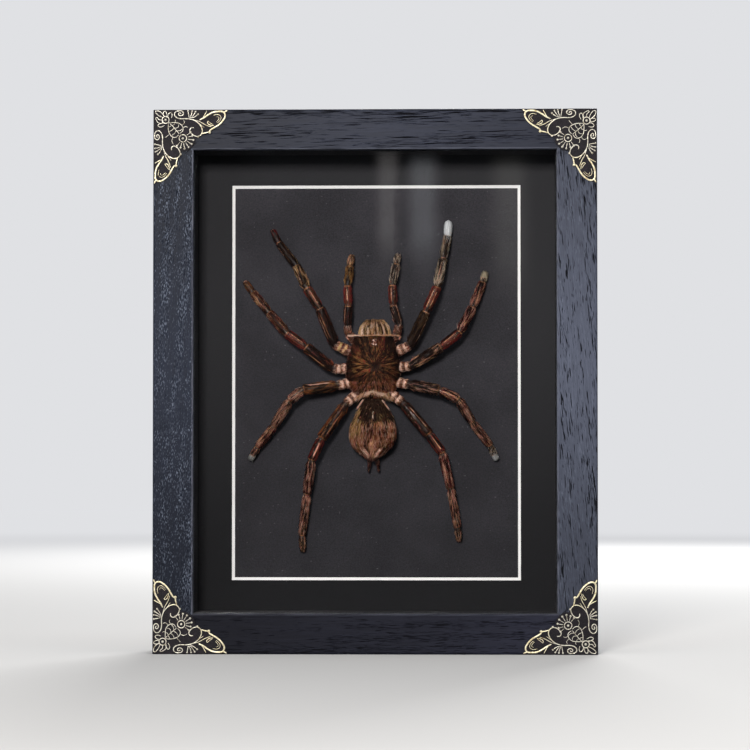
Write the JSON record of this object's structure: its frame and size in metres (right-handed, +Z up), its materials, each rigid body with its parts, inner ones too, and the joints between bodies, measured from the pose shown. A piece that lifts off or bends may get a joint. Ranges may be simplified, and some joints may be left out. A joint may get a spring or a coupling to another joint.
{
  "type": "framed tarantula specimen",
  "caption": "Dried tarantula spread on a dark card behind glass in a blue-black box frame, with a white-bevelled black mat and filigree brass corners.",
  "frame": {"origin": "bottom centre of the whole object, on the surface it stands on", "axes": "+Z up, +X to the right as seen from the front, the glazed front faces -Y"},
  "size_m": [0.23, 0.0424, 0.282],
  "materials": {
    "painted_oak": "blue-black paint over open-grained oak, satin",
    "clear_glass": "clear polished float glass",
    "black_spacer": "matt black",
    "black_mat": "matt black paper face with a white core at the bevel",
    "grey_card": "matt charcoal card, finely speckled",
    "brown_board": "raw hardboard",
    "steel": "zinc-plated, dull",
    "aged_brass": "antique brass, blackened in the recesses",
    "spider_shell": "dry cuticle with short combed golden-brown hair",
    "spider_limb": "dark brown cuticle with long pale and reddish hair",
    "spider_fur": "dense reddish-brown hair"
  },
  "bodies": {
    "root": {"frame_rail_top": "painted_oak", "frame_rail_bottom": "painted_oak", "frame_stile_left": "painted_oak", "frame_stile_right": "painted_oak", "glass_pane": "clear_glass", "spacer_top": "black_spacer", "spacer_bottom": "black_spacer", "spacer_left": "black_spacer", "spacer_right": "black_spacer", "window_mat": "black_mat", "backing_card": "grey_card", "back_board": "brown_board", "point_top_left": "steel", "point_top_right": "steel", "point_bottom_left": "steel", "point_bottom_right": "steel", "point_left_upper": "steel", "point_left_lower": "steel", "point_right_upper": "steel", "point_right_lower": "steel", "hanger_plate": "steel", "hanger_nail_left": "steel", "hanger_nail_right": "steel", "corner_plate_top_left": "aged_brass", "corner_plate_top_right": "aged_brass", "corner_plate_bottom_left": "aged_brass", "corner_plate_bottom_right": "aged_brass", "spider_cephalothorax": "spider_shell", "spider_abdomen": "spider_fur", "spider_spinneret_left": "spider_limb", "spider_spinneret_right": "spider_limb", "spider_chelicera_left": "spider_fur", "spider_chelicera_right": "spider_fur", "spider_palp_left": "spider_limb", "spider_palp_right": "spider_limb", "spider_leg_1_left": "spider_limb", "spider_leg_2_left": "spider_limb", "spider_leg_3_left": "spider_limb", "spider_leg_4_left": "spider_limb", "spider_leg_1_right": "spider_limb", "spider_leg_2_right": "spider_limb", "spider_leg_3_right": "spider_limb", "spider_leg_4_right": "spider_limb"}
  },
  "joints": []
}
